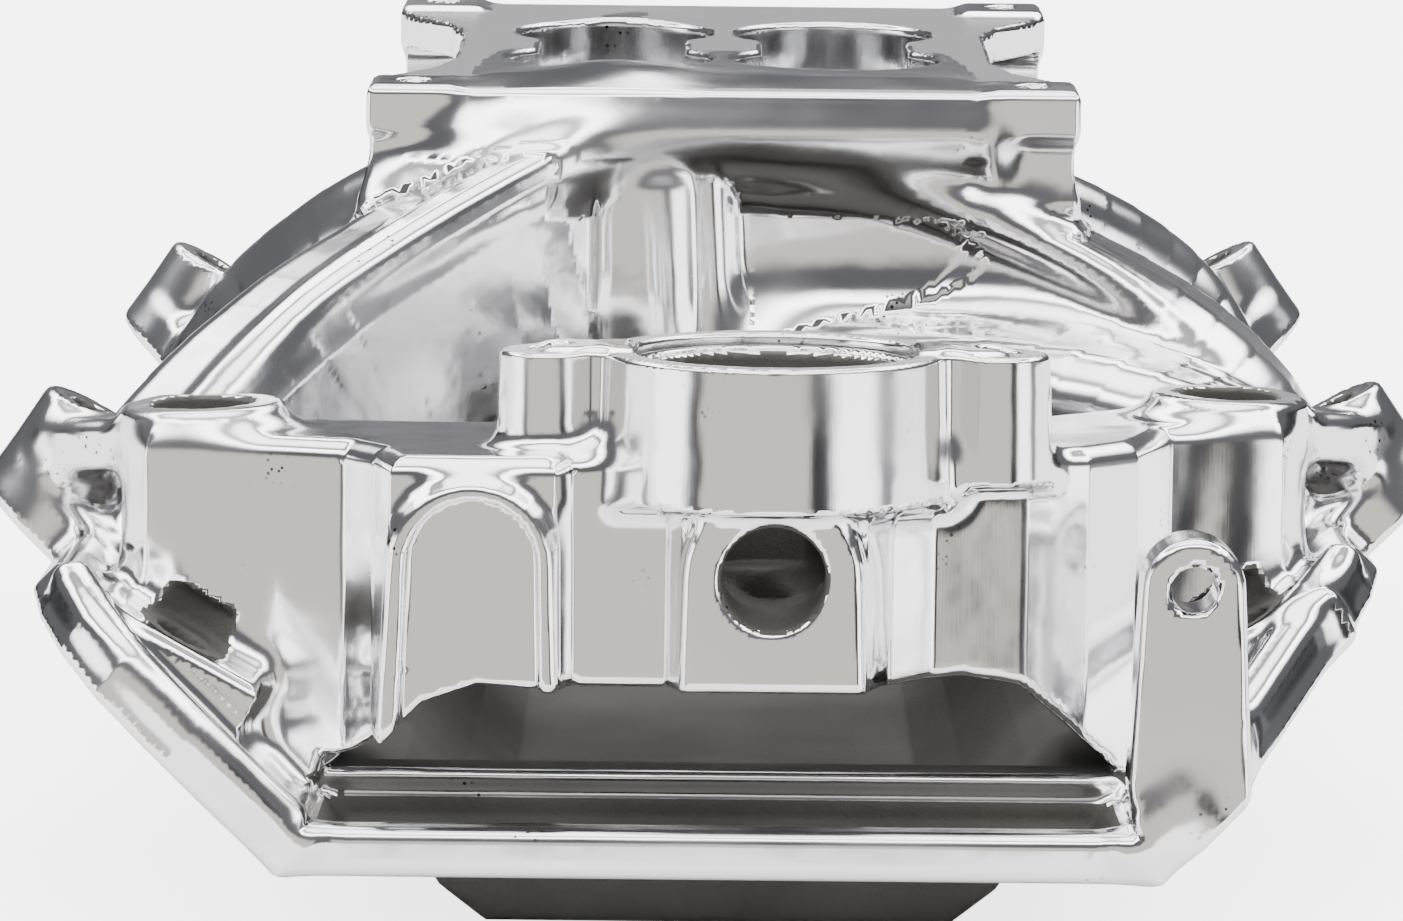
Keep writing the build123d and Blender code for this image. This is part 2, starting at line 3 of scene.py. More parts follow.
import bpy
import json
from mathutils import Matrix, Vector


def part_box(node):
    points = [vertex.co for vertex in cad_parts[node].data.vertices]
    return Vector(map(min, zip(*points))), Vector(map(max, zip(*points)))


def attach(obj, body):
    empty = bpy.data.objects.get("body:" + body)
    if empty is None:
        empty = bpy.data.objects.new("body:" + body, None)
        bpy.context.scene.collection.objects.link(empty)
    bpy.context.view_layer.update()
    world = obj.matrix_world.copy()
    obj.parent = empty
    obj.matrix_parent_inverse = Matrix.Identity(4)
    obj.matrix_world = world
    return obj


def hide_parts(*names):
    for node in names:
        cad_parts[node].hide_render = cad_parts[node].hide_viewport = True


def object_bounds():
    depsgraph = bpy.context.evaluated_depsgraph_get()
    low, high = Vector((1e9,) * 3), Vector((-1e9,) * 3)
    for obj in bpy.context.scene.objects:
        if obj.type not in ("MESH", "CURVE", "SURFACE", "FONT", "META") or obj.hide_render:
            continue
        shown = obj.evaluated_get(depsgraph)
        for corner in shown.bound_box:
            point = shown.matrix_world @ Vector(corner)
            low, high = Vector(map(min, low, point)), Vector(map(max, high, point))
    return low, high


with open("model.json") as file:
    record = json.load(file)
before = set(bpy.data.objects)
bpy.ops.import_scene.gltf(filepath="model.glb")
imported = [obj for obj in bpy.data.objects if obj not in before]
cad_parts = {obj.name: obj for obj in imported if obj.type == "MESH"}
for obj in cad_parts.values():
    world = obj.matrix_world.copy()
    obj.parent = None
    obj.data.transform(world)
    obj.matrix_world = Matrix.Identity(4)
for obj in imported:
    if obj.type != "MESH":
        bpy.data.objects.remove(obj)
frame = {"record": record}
cad_bounds = [list(corner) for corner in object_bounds()]

import json
import math
import time
from concurrent.futures import ThreadPoolExecutor
import bmesh
import bpy
import numpy as np
from mathutils import Euler, Quaternion, Vector

# ------------------------------------------------------------------------------------------ the mould
# The real part is poured as one casting, so its regions run into each other in soft fillets.
# Each section below adds its metal to the mould, and the cores that leave its hollows. Distances
# are signed, in millimetres, and below zero inside the metal. The frame's mounts give the places.
began = time.time()
place = {}
pointing = {}
for mount in frame["record"]["mounts"]:
    place[mount["name"]] = np.array(mount["pos_m"]) * 1000
    pointing[mount["name"]] = np.array(mount["axis"])
metal = []
cores = []
left_cast_and_shaded = []


def corners_of(node):
    """A frame node's lowest and highest corner, in millimetres."""
    return [np.array(corner) * 1000 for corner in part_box(node)]


def pour(shape, fillet):
    """Add a shape to the metal, with a fillet where it meets what was poured before."""
    metal.append((*shape, fillet))


def core(shape, edge=0.8, cast_and_shade_finish=False):
    """Leave a shape hollow, with this much rounding on its mouth."""
    cores.append((*shape, edge))
    if cast_and_shade_finish:
        left_cast_and_shaded.append(shape)


def block(low, high, edge):
    """A box with rounded edges, as (distance, lowest corner, highest corner)."""
    low, high = np.array(low, float), np.array(high, float)
    middle, half = (low + high) / 2, (high - low) / 2 - edge

    def distance(p):
        q = np.abs(p - middle) - half
        outside = np.linalg.norm(np.maximum(q, 0), axis=1)
        return outside + np.minimum(q.max(axis=1), 0) - edge

    return distance, low, high


def post(foot, top, radius, edge=1.0, top_radius=None):
    """A round post between two points, tapered if it has a top radius."""
    foot, top = np.array(foot, float), np.array(top, float)
    axis = top - foot
    length = np.linalg.norm(axis)
    axis = axis / length
    top_radius = radius if top_radius is None else top_radius
    slope = (top_radius - radius) / length
    reach = max(radius, top_radius)

    def distance(p):
        offset = p - foot
        along = offset @ axis
        out = np.sqrt(np.maximum((offset**2).sum(axis=1) - along**2, 0))
        wall = (out - radius - slope * np.clip(along, 0, length)) / math.hypot(1, slope) + edge
        end = np.abs(along - length / 2) - length / 2 + edge
        outside = np.hypot(np.maximum(wall, 0), np.maximum(end, 0))
        return outside + np.minimum(np.maximum(wall, end), 0) - edge

    return distance, np.minimum(foot, top) - reach, np.maximum(foot, top) + reach


def outline_distance(u, v, corners):
    """Signed distance in a plane to a closed outline."""
    nearest = np.full(len(u), 1e9)
    sign = np.ones(len(u))
    for (au, av), (bu, bv) in zip(corners, corners[1:] + corners[:1]):
        eu, ev = bu - au, bv - av
        wu, wv = u - au, v - av
        t = np.clip((wu * eu + wv * ev) / (eu * eu + ev * ev), 0, 1)
        nearest = np.minimum(nearest, (wu - t * eu) ** 2 + (wv - t * ev) ** 2)
        above, below, left = v >= av, v < bv, eu * wv > ev * wu
        sign[(above & below & left) | ~(above | below | left)] *= -1
    return sign * np.sqrt(nearest)


def plate(corners, origin, u_axis, v_axis, low, high, edge):
    """An outline in the plane of two axes, given a thickness from low to high along their normal."""
    origin, u_axis, v_axis = (np.array(v, float) for v in (origin, u_axis, v_axis))
    normal = np.cross(u_axis, v_axis)
    flat = [origin + a * u_axis + b * v_axis + c * normal for a, b in corners for c in (low, high)]

    def distance(p):
        offset = p - origin
        side = outline_distance(offset @ u_axis, offset @ v_axis, corners) + edge
        end = np.abs(offset @ normal - (low + high) / 2) - (high - low) / 2 + edge
        outside = np.hypot(np.maximum(side, 0), np.maximum(end, 0))
        return outside + np.minimum(np.maximum(side, end), 0) - edge

    return distance, np.min(flat, axis=0), np.max(flat, axis=0)


def limb(points, widths, heights, edge, steps=18):
    """A bent bar of rounded-rectangle section along a smooth line through a few points."""
    points = np.array(points, float)
    marks = np.linspace(0, len(points) - 1, steps)
    line, sizes = [], []
    for mark in marks:
        i = min(int(mark), len(points) - 2)
        t = mark - i
        near = [points[max(i - 1, 0)], points[i], points[i + 1], points[min(i + 2, len(points) - 1)]]
        pull = [
            -0.5 * t + t**2 - 0.5 * t**3,
            1 - 2.5 * t**2 + 1.5 * t**3,
            0.5 * t + 2 * t**2 - 1.5 * t**3,
            -0.5 * t**2 + 0.5 * t**3,
        ]
        line.append(sum(a * b for a, b in zip(pull, near)))
        sizes.append(
            [np.interp(mark, range(len(points)), widths), np.interp(mark, range(len(points)), heights)]
        )
    line, sizes = np.array(line), np.array(sizes)
    ahead = np.gradient(line, axis=0)
    ahead /= np.linalg.norm(ahead, axis=1)[:, None]
    across = np.stack([-ahead[:, 1], ahead[:, 0], np.zeros(steps)], axis=1)
    across /= np.linalg.norm(across, axis=1)[:, None]
    upward = np.cross(across, ahead)
    upward *= np.sign(upward[:, 2:3])

    def distance(p):
        best = np.full(len(p), 1e9)
        at = np.zeros(len(p))
        for i in range(steps - 1):
            span = line[i + 1] - line[i]
            t = np.clip(((p - line[i]) @ span) / (span @ span), 0, 1)
            gap = ((p - line[i] - t[:, None] * span) ** 2).sum(axis=1)
            closer = gap < best
            best[closer] = gap[closer]
            at[closer] = i + t[closer]
        i = np.minimum(at.astype(int), steps - 2)
        t = (at - i)[:, None]
        offset = p - (line[i] * (1 - t) + line[i + 1] * t)
        size = sizes[i] * (1 - t) + sizes[i + 1] * t
        frames = [axes[i] * (1 - t) + axes[i + 1] * t for axes in (across, upward, ahead)]
        u, v, w = (np.abs((offset * axes).sum(axis=1)) for axes in frames)
        rounding = np.minimum(edge, size.min(axis=1) - 0.5)
        side = u - size[:, 0] + rounding
        top = v - size[:, 1] + rounding
        outside = np.sqrt(np.maximum(side, 0) ** 2 + np.maximum(top, 0) ** 2 + w**2)
        return outside + np.minimum(np.maximum(side, top), 0) - rounding

    reach = sizes.max() * 1.2
    return distance, line.min(axis=0) - reach, line.max(axis=0) + reach


# ------------------------------------------------------------------------------------ carburettor pad
# A square flange, milled flat on top and a few degrees lower in front. Each corner stands on a
# square post and is tapped for a stud, and the sides are waisted between the corners.
pad = place["carburettor_face"]
pad_up = pointing["carburettor_face"]
pad_back = np.array([0, pad_up[2], -pad_up[1]])
pad_right = np.array([1.0, 0, 0])
studs = [place[f"carburettor_stud_{i}"] for i in (1, 2, 3, 4)]
stud_x = abs(studs[0][0])
stud_y = np.linalg.norm(studs[2] - studs[0]) / 2
stud_edge = 8.4
waist = 59.0
plate_depth = 8.0


def on_pad(x, y, down=0.0):
    return pad + x * pad_right + y * pad_back - down * pad_up


pad_x, pad_y = stud_x + stud_edge, stud_y + stud_edge
quarter = [(pad_x, pad_y), (pad_x, pad_y - 20), (pad_x - 3, pad_y - 27), (waist + 4, pad_y - 40)]
quarter += [(waist, pad_y - 56)]
right_side = quarter + [(x, -y) for x, y in reversed(quarter)]
pad_outline = right_side + [(-x, -y) for x, y in right_side]
pour(plate(pad_outline, pad, pad_right, pad_back, -plate_depth, 0, 0.9), 5)
for x in (-stud_x, stud_x):
    for y in (-stud_y, stud_y):
        half = stud_edge
        square = [(x - half, y - half), (x + half, y - half), (x + half, y + half), (x - half, y + half)]
        pour(plate(square, pad, pad_right, pad_back, -23, 0, 1.2), 5)
        core(post(on_pad(x, y, 22), on_pad(x, y, -9), 3.3, 0.2), 0.6)

# Each pair of throttle bores runs into one figure-of-eight opening.
throttle_x, throttle_y, throttle_radius = 24.7, 25.0, 22.0
for x in (-throttle_x, throttle_x):
    for y in (-throttle_y, throttle_y):
        core(post(on_pad(x, y, 14), on_pad(x, y, -9), throttle_radius, 0.2), 1.5)
    gap = throttle_radius - 6
    bridge = [(x - gap, -throttle_y), (x + gap, -throttle_y), (x + gap, throttle_y), (x - gap, throttle_y)]
    core(plate(bridge, pad, pad_right, pad_back, -14, 9, 0.2), 1.5)

# ---------------------------------------------------------------------------------------------- plenum
# The box under the pad, split by a wall along the engine. The left chamber is deep and passes
# under the floor of the right one. A brow and a ribbed column dress its front.
plenum_low, plenum_high = corners_of("plenum_chamber")
wall = 4.5
chamber_low, chamber_high = plenum_low + wall, plenum_high - wall
pour(block(plenum_low, (plenum_high[0], plenum_high[1], pad[2] - 5), 7), 9)
front = plenum_low[1]
brow_z = 142.0
pour(post((-60, front - 3.5, brow_z), (60, front - 3.5, brow_z), 9.2, 6), 6)
pour(post((-11.0, front - 6, plenum_low[2] - 2), (-13.5, front - 5, 137), 8.6, 6), 3.5)
pour(post((-0.2, front - 9, plenum_low[2] - 2), (-3.5, front - 7, 139), 3.6, 3), 2)
divider_x = 2.8
upper_floor_low, upper_floor_high = corners_of("upper_chamber_floor")
chamber_top = 143
core(block(chamber_low, (-divider_x, chamber_high[1], chamber_top), 3))
core(block((-12, *chamber_low[1:]), (*chamber_high[:2], upper_floor_low[2]), 3))
core(block((divider_x, chamber_low[1], upper_floor_high[2]), (*chamber_high[:2], chamber_top), 3))
vacuum_x, _, vacuum_z = place["vacuum_port"]
chamber_back, plenum_back = chamber_high[1], plenum_high[1]
pour(post((vacuum_x, chamber_back, vacuum_z), (vacuum_x, plenum_back + 14, vacuum_z), 11, 1.5), 4)
core(post((vacuum_x, chamber_back - 3, vacuum_z), (vacuum_x, plenum_back + 20, vacuum_z), 7.4, 0.2))

# ---------------------------------------------------------------------------------------- eight runners
# Arched ducts from the plenum to the ports. On each bank two leave the plenum high and two low:
# the left bank's outer pair and the right bank's inner pair are the high ones. The high ones carry a
# raised crest. Air gets round and under all of them, which keeps the charge cool.
toe = place["head_face_right"]
slope = pointing["head_face_right"]
bank_offset = {"left": -15.0, "right": 15.0}
face_x_at_zero = toe[0] - toe[2]
face_low = 16.0
port_up = 39.0


def on_face(side, along, up, out=0.0):
    """A point up a bank's gasket face, `along` the bank from its middle."""
    sign = 1 if side == "right" else -1
    run = math.sqrt(0.5)
    z = face_low + (up - out) * run
    return np.array([sign * (face_x_at_zero + face_low + (up + out) * run), bank_offset[side] + along, z])


levels = {
    ("high", "outer"): {
        "x": (16, 42, 66, 87, 104),
        "z": (118, 110, 100, 87, 67),
        "half_height": (33, 30, 27, 26, 28),
        "share": (0.0, 0.2, 0.45, 0.67, 0.86),
        "start": 54.0,
    },
    ("high", "inner"): {
        "x": (6, 34, 60, 85, 102),
        "z": (120, 116, 107, 91, 72),
        "half_height": (23, 21, 21, 25, 28),
        "share": (0.0, 0.3, 0.6, 0.85, 1.0),
        "start": 50.0,
    },
    ("low", "outer"): {
        "x": (10, 38, 64, 86, 103),
        "z": (85, 86, 85, 77, 64),
        "half_height": (17, 17, 18, 23, 27),
        "share": (0.0, 0.34, 0.65, 0.87, 0.97),
        "start": 62.0,
    },
    ("low", "inner"): {
        "x": (38, 58, 76, 93, 104),
        "z": (96, 95, 88, 75, 62),
        "half_height": (14, 15, 19, 24, 27),
        "share": (0.0, 0.3, 0.6, 0.85, 0.97),
        "start": 24.0,
    },
}
half_width = (16, 16, 16.5, 17.5, 18)
for side, sign in (("left", -1), ("right", 1)):
    for end in (-1, 1):
        for rank in ("outer", "inner"):
            level = "high" if (side == "left") == (rank == "outer") else "low"
            shape = levels[level, rank]
            along = end * (131.3 if rank == "outer" else 92.3)
            port = on_face(side, along, port_up)
            start_y = pad[1] + end * shape["start"]
            ys = [start_y + share * (port[1] - start_y) for share in shape["share"]]
            line = [(sign * x, y, z) for x, y, z in zip(shape["x"], ys, shape["z"])]
            line += [on_face(side, along, port_up, 14)]
            heights = [*shape["half_height"], 27.5]
            pour(limb(line, [*half_width, 18.2], heights, 11), 16)
            tall = [min(h - wall - 2, 24) for h in heights]
            core(limb(line, [11, 11, 12, 13, 13.7, 13.7], tall, 6), 1.0, True)
            if level == "high":
                crest = [(x, y + end * 15, z + h * 0.84) for (x, y, z), h in zip(line, heights)]
                pour(limb(crest[:5], [5, 5, 5, 4, 3], [4, 4, 4, 3.5, 3], 3.5), 5)

# ---------------------------------------------------------------------------------------- head flanges
# Each bank's flange lies on its cylinder head at 45 degrees. Six bolts stand more upright than the
# flange, so each has a seat squared to its own axis. Two of the six are on ears above the plate.
rail_rear = corners_of("rear_end_rail")[1][1]
front_edges = {
    "left": [(-243, 0), (-245, 30), (-243, 48), (-236, 58), (-226, 65), (-212, 69)],
    "right": [(-243, 0), (-241, 14), (-221, 34), (-196, 54), (-182, 64), (-168, 68)],
}
rear_edges = {
    "left": [(rail_rear, 0), (rail_rear, 6), (176, 66), (166, 69)],
    "right": [(rail_rear, 0), (rail_rear, 36), (216, 64), (206, 69)],
}
flange_depth = 10.0
ear_along, ear_up = 144.0, 76.0
for side, sign in (("left", -1), ("right", 1)):
    origin = on_face(side, -bank_offset[side], 0)
    up_face = on_face(side, -bank_offset[side], 1) - origin
    outline = rear_edges[side] + front_edges[side][::-1]
    normal = np.cross((0, 1, 0), up_face)
    inward = (-flange_depth, 0) if normal[0] * sign > 0 else (0, flange_depth)
    pour(plate(outline, origin, (0, 1, 0), up_face, *inward, 2.5), 7)
    # A lip stands up along the flange's front edge, round the hollow before the wall behind.
    lip = [on_face(side, y - bank_offset[side] + 4, up, -flange_depth) for y, up in front_edges[side][:5]]
    pour(limb(lip, [3.6] * 5, [3.4] * 5, 3.2), 5)
    bolt = pointing[f"head_bolt_{side}_2"]
    for i in range(1, 7):
        middle = place[f"head_bolt_{side}_{i}"]
        high = middle[2] > 70
        half = 13.5 if high else 8.5
        foot, seat = middle - (half + 14) * bolt, middle + half * bolt
        if i in (1, 4):
            across = np.cross(bolt, (0, 1, 0))
            shelf = [(-18, -13), (17, -13), (17, 16), (-18, 16)]
            pour(plate(shelf, seat, across, (0, 1, 0), 0, 24, 2.5), 5)
        else:
            pour(post(foot, seat, 14.5 if high else 15, 1.6, 10.8 if high else 12.5), 5)
        core(post(middle - 50 * bolt, seat + 3 * bolt, 5.2, 0.2), 0.7, True)
        core(post(seat, seat + (26 if high else 7) * bolt, 9.5, 1.5), 0.7, not high)
    for end in (-1, 1):
        ear = on_face(side, end * ear_along, ear_up - 3, -flange_depth / 2)
        half = slope * np.array([sign, 1, 1]) * flange_depth / 2
        pour(post(ear - half, ear + half, 13.5, 2), 6)

# ------------------------------------------------------------------------------------- water crossover
# The bridge at the front that gathers coolant from both heads. Its front wall is stepped and
# scooped between its fittings and falls back at the right, where the bank is set back.
cross_top = corners_of("water_crossover")[1][2]
neck_x, neck_y, neck_top = place["thermostat_bolts"]
floor_z = 26.0
wall_plan = [
    (-110, -206), (-92, -208), (-72, -214), (-66, -222), (-62, -236), (-31, -236), (-28, -229.5),
    (-10, -229.5), (-7, -236), (27, -236), (32, -228), (40, -223), (58, -220), (70, -214), (80, -204),
    (88, -182), (110, -176), (112, -146), (84, -146), (60, -166), (20, -181), (-60, -180), (-112, -176),
]
pour(plate(wall_plan, (0, 0, 0), (1, 0, 0), (0, 1, 0), floor_z, cross_top, 4), 6)
for side, sign in (("left", -1), ("right", 1)):
    boss = place[f"coolant_port_{side}"]
    boss_top = boss[2] + 6
    pour(post((boss[0] - sign * 3, boss[1], 36), (boss[0], boss[1], boss_top), 19, 1.3, 15.6), 7)
    core(post((boss[0], boss[1], 70), (boss[0], boss[1], boss_top + 9), 9.6, 0.2), 1.0, True)
    rib = [(boss[0] + sign * 8, boss[1] + 4, boss_top - 8), (sign * 121, boss[1] + 16, boss_top - 10)]
    pour(limb([*rib, (sign * 126, boss[1] + 24, boss_top - 12)], [8, 8, 8], [5, 5, 6], 3), 6)

# The thermostat's round neck with a lug for a bolt at each side, and its seat and well.
seat_z = place["thermostat_seat"][2]
seat_radius, well_radius, throat_radius = 27.4, 24, 16
pour(post((neck_x, neck_y, cross_top - 9), (neck_x, neck_y, neck_top), 34, 0.9, 33), 7)
lug_x = 42.7
for sign in (-1, 1):
    x = neck_x + sign * lug_x
    pour(post((x, neck_y - 2, cross_top - 6), (x, neck_y - 2, neck_top), 10.5, 0.9, 9.5), 4)
    core(post((x, neck_y, neck_top - 20), (x, neck_y, neck_top + 9), 4.0, 0.2), 0.8)
web_low = (neck_x - lug_x, neck_y - 7, cross_top - 4)
pour(block(web_low, (neck_x + lug_x, neck_y + 7, neck_top), 0.9), 4)
core(post((neck_x, neck_y, seat_z - 1.6), (neck_x, neck_y, neck_top + 9), seat_radius, 0.3), 1.1)
core(post((neck_x, neck_y, 91), (neck_x, neck_y, neck_top + 9), well_radius, 0.3), 1.1, True)
core(post((neck_x, neck_y, 70), (neck_x, neck_y, 100), throat_radius, 0.3), 2, True)
ends = {}
for side in ("left", "right"):
    mouth = place[f"front_water_port_{side}"]
    out = pointing[f"front_water_port_{side}"]
    ends[side] = mouth - 14 * out
    core(post(ends[side], mouth + 20 * out, 10, 0.3), 0.8)
    mouth = place[f"rear_water_port_{side}"]
    core(post(mouth - 14 * out, mouth + 20 * out, 10, 0.3), 0.8)
    core(post(ends[side], (neck_x, neck_y, 74), 9, 8), 1, True)

# The arched gap under the bridge.
gap = [(-76, 30.6), (-64, 40), (-56, 48), (-46, 51.5), (-31, 50.5), (26, 50.5), (46, 52), (57, 50)]
gap += [(67, 41), (77, 30.6)]
front_axes = ((0, 0, 0), (1, 0, 0), (0, 0, 1))
core(plate(gap, *front_axes, 130, 250, 0.5), 2.5)
core(plate([(-77, 26.2), (78, 26.2), (76, 34), (-76, 34)], *front_axes, 209, 250, 0.5), 2)


# The fittings on its front: a tapped bypass pad, the blank pad of another version, and a bracket lug.
def arched(x, z, radius, foot_half, foot_z):
    """The outline of an arch: a half-round top over straight or splayed sides."""
    turns = [math.radians(a) for a in range(0, 181, 12)]
    top = [(x + radius * math.cos(a), z + radius * math.sin(a)) for a in turns]
    return top + [(x - foot_half, foot_z), (x + foot_half, foot_z)]


bypass = place["bypass_port"]
bypass_front = corners_of("bypass_port_pad")[0][1]
pour(plate(arched(bypass[0], bypass[2], 17.2, 17.8, 51), *front_axes, 225, -bypass_front, 2.4), 4)
core(post((bypass[0], -205, bypass[2]), (bypass[0], bypass_front - 9, bypass[2]), 9.8, 0.3), 1.8, True)
blank_x, blank_z = -46.8, 75.0
rim = arched(blank_x, blank_z, 15.2, 16, 49)
rim[-2] = (blank_x - 18, 36)
pour(plate(rim, *front_axes, 225, 239, 1.4), 5)
pocket = arched(blank_x, blank_z, 12.2, 12.6, 47)
pocket[-2] = (blank_x - 13.5, 40)
core(plate(pocket, *front_axes, 233.5, 250, 0.8), 1.5)
bracket = place["bracket_hole"]
bracket_low, bracket_high = corners_of("bracket_lug")
lug = arched(bracket[0], bracket[2], 9.6, 12.2, 22)
pour(plate(lug, *front_axes, -bracket_high[1], -bracket_low[1], 1.8), 7)
core(post((bracket[0], -220, bracket[2]), (bracket[0], -252, bracket[2]), 4.4, 0.3), 0.9)

# ------------------------------------------------------------------------- end rails and valley tray
# A bar lies on the block's wall at each end of the valley. Between the bars hangs the tray, an
# as-cast pan that keeps hot oil off the runners. The distributor's boss stands in it at the rear.
rail_half = face_x_at_zero + face_low
rail_section = [(-rail_half, face_low), (rail_half, face_low), (rail_half - 3, 26), (-rail_half + 3, 26)]
for first, last in ((-243, -205), (213, 247)):
    pour(plate(rail_section, *front_axes, -last, -first, 3), 4)
tray_low, tray_high = corners_of("valley_tray")


def tray_section(inset):
    """The tray from the front: shelves by the flanges and a deep channel between them."""
    half = [(80 - 2 * inset, 31), (68 - 1.4 * inset, 21 + inset), (60 - 0.4 * inset, face_low + inset)]
    half += [(54 - 0.4 * inset, 7 + inset), (45 - 0.4 * inset, inset)]
    top = 45 if inset else 31
    half[0] = (half[0][0] + (top - 31), top)
    return half + [(-x, z) for x, z in reversed(half)]


pour(plate(tray_section(0), *front_axes, -tray_high[1] + 2, -tray_low[1], 2), 3)
core(plate(tray_section(wall), *front_axes, -tray_high[1] + 8, -tray_low[1] - 8, 2), 1.5, True)
core(plate([(-72, 20), (72, 20), (78, 29), (-78, 29)], *front_axes, 209, 234, 2.5), 2, True)
distributor = place["distributor_bore"]
boss_top = corners_of("distributor_boss")[1][2]
pour(post((0, distributor[1], 2), (0, distributor[1], boss_top), 29, 1.5, 28), 5)
core(post((0, distributor[1], -9), (0, distributor[1], boss_top + 9), 22.5, 0.3), 1.0)
for side, sign in (("left", -1), ("right", 1)):
    low, high = corners_of(f"rear_water_boss_{side}")
    x, y = (low[0] + high[0]) / 2, (low[1] + high[1]) / 2
    pour(post((x, y, 45), (x, y, high[2]), 17, 2.5, 14.5), 7)

# The flanges and rails are milled flat last, so nothing stands beyond the gasket faces.
everywhere = np.array([400.0] * 3)
gasket_edge = 2.2
for side, sign in (("left", -1), ("right", 1)):
    outside = slope * np.array([sign, 1, 1])
    start = on_face(side, -bank_offset[side], 0)
    cores.append((lambda p, n=outside, s=start: -((p - s) @ n), -everywhere, everywhere, gasket_edge))


# --------------------------------------------------------------------------------- pouring the casting
# The mould's distances are worked out first on a coarse grid, and then finely near the skin. The
# skin becomes a mesh of quads, whose corners are slid onto the true surface.
def blend(a, b, radius):
    """The nearer of two distances, with a fillet where they meet."""
    soft = np.maximum(radius - np.abs(a - b), 0)
    return np.minimum(a, b) - soft * soft / (4 * radius)


def skin_of(p, band):
    """Signed distance from each point to the casting's skin."""
    depth = np.full(len(p), 60.0)
    for shapes, sign in ((metal, 1), (cores, -1)):
        for distance, low, high, radius in shapes:
            reach = radius + band
            near = np.flatnonzero(np.all((p > low - reach) & (p < high + reach), axis=1))
            if len(near):
                depth[near] = sign * blend(sign * depth[near], distance(p[near]), radius)
    return depth


def skin(p, band=7.0):
    """The same, worked out in batches side by side."""
    batches = [p[first : first + 40000] for first in range(0, len(p), 40000)]
    with ThreadPoolExecutor(4) as pool:
        return np.concatenate(list(pool.map(lambda batch: skin_of(batch, band), batches)))


cell = 1.3
low_corner = np.array(cad_bounds[0]) * 1000 - 3 * cell
high_corner = np.array(cad_bounds[1]) * 1000 + 3 * cell
stride = 8
counts = np.ceil((high_corner - low_corner) / cell / stride).astype(int) * stride
blocks = np.stack(np.meshgrid(*[np.arange(0, n, stride) for n in counts], indexing="ij"), axis=-1)
blocks = blocks.reshape(-1, 3)
depth = np.zeros(counts, np.float32)
while True:
    guess = skin(low_corner + (blocks + (stride - 1) / 2) * cell, 0.9 * stride * cell + 3)
    for a in np.ndindex(stride, stride, stride):
        depth[tuple((blocks + a).T)] = guess
    if stride == 1:
        break
    blocks = blocks[np.abs(guess) < 0.87 * stride * cell + 2]
    stride //= 2
    halves = np.array(list(np.ndindex(2, 2, 2))) * stride
    blocks = (blocks[:, None, :] + halves).reshape(-1, 3)
print("mould", round(time.time() - began), "s")

inside = depth < 0
crossed = np.zeros(np.array(depth.shape) - 1, bool)
total = np.zeros(crossed.shape, np.uint8)
for dx in (0, 1):
    for dy in (0, 1):
        for dz in (0, 1):
            nx, ny, nz = crossed.shape
            total += inside[dx : dx + nx, dy : dy + ny, dz : dz + nz]
crossed = (total > 0) & (total < 8)
cells = np.argwhere(crossed)
number = np.full(crossed.shape, -1, np.int32)
number[tuple(cells.T)] = np.arange(len(cells))
points = np.zeros((len(cells), 3))
hits = np.zeros(len(cells))
offsets = [np.array(o) for o in np.ndindex(2, 2, 2)]
for a in offsets:
    for axis in range(3):
        if a[axis]:
            continue
        b = a.copy()
        b[axis] = 1
        da, db = depth[tuple((cells + a).T)], depth[tuple((cells + b).T)]
        cut = (da < 0) != (db < 0)
        t = da[cut] / (da[cut] - db[cut])
        spot = (cells[cut] + a).astype(float)
        spot[:, axis] += t
        points[cut] += spot
        hits[cut] += 1
points = low_corner + points / hits[:, None] * cell

quads = []
for axis in range(3):
    others = [i for i in range(3) if i != axis]
    head = [slice(None)] * 3
    tail = [slice(None)] * 3
    head[axis], tail[axis] = slice(0, -1), slice(1, None)
    change = inside[tuple(head)] != inside[tuple(tail)]
    at = np.argwhere(change)
    at = at[(at[:, others[0]] > 0) & (at[:, others[1]] > 0)]
    ring = []
    for da, db in ((0, 0), (1, 0), (1, 1), (0, 1)):
        near = at.copy()
        near[:, others[0]] -= da
        near[:, others[1]] -= db
        ring.append(number[tuple(near.T)])
    ring = np.stack(ring, axis=1)
    into = inside[tuple(at.T)]
    turn = ~into if axis != 1 else into
    ring[turn] = ring[turn][:, ::-1]
    quads.append(ring)
quads = np.concatenate(quads)
quads = quads[(quads >= 0).all(axis=1)]
for _ in range(2):
    total = np.zeros_like(points)
    for corner in ((1, 1, 1), (1, -1, -1), (-1, 1, -1), (-1, -1, 1)):
        corner = np.array(corner) * 0.2
        total += corner * skin(points + corner, 1.0)[:, None]
    rise = total / (4 * 0.2**2)
    size = np.maximum((rise**2).sum(axis=1), 0.2)
    points -= np.clip(skin(points, 1.0) / size, -cell, cell)[:, None] * rise
print("skin", len(points), "points", len(quads), "quads", round(time.time() - began), "s")


def slope_at(p):
    """The skin's outward direction at each point."""
    total = np.zeros_like(p)
    for corner in ((1, 1, 1), (1, -1, -1), (-1, 1, -1), (-1, -1, 1)):
        corner = np.array(corner) * 0.2
        total += corner * skin(p + corner, 1.0)[:, None]
    return total / np.maximum(np.linalg.norm(total, axis=1), 1e-9)[:, None]


# ------------------------------------------------------------------------------------- shared finishes
# Effects that the three finishes share, as node groups. Sizes are in metres, in object space.
def group_named(name, outputs):
    group = bpy.data.node_groups.new(name, "ShaderNodeTree")
    for label, kind in outputs:
        group.interface.new_socket(label, in_out="OUTPUT", socket_type=kind)
    return group, group.nodes, group.links, group.nodes.new("NodeGroupOutput")


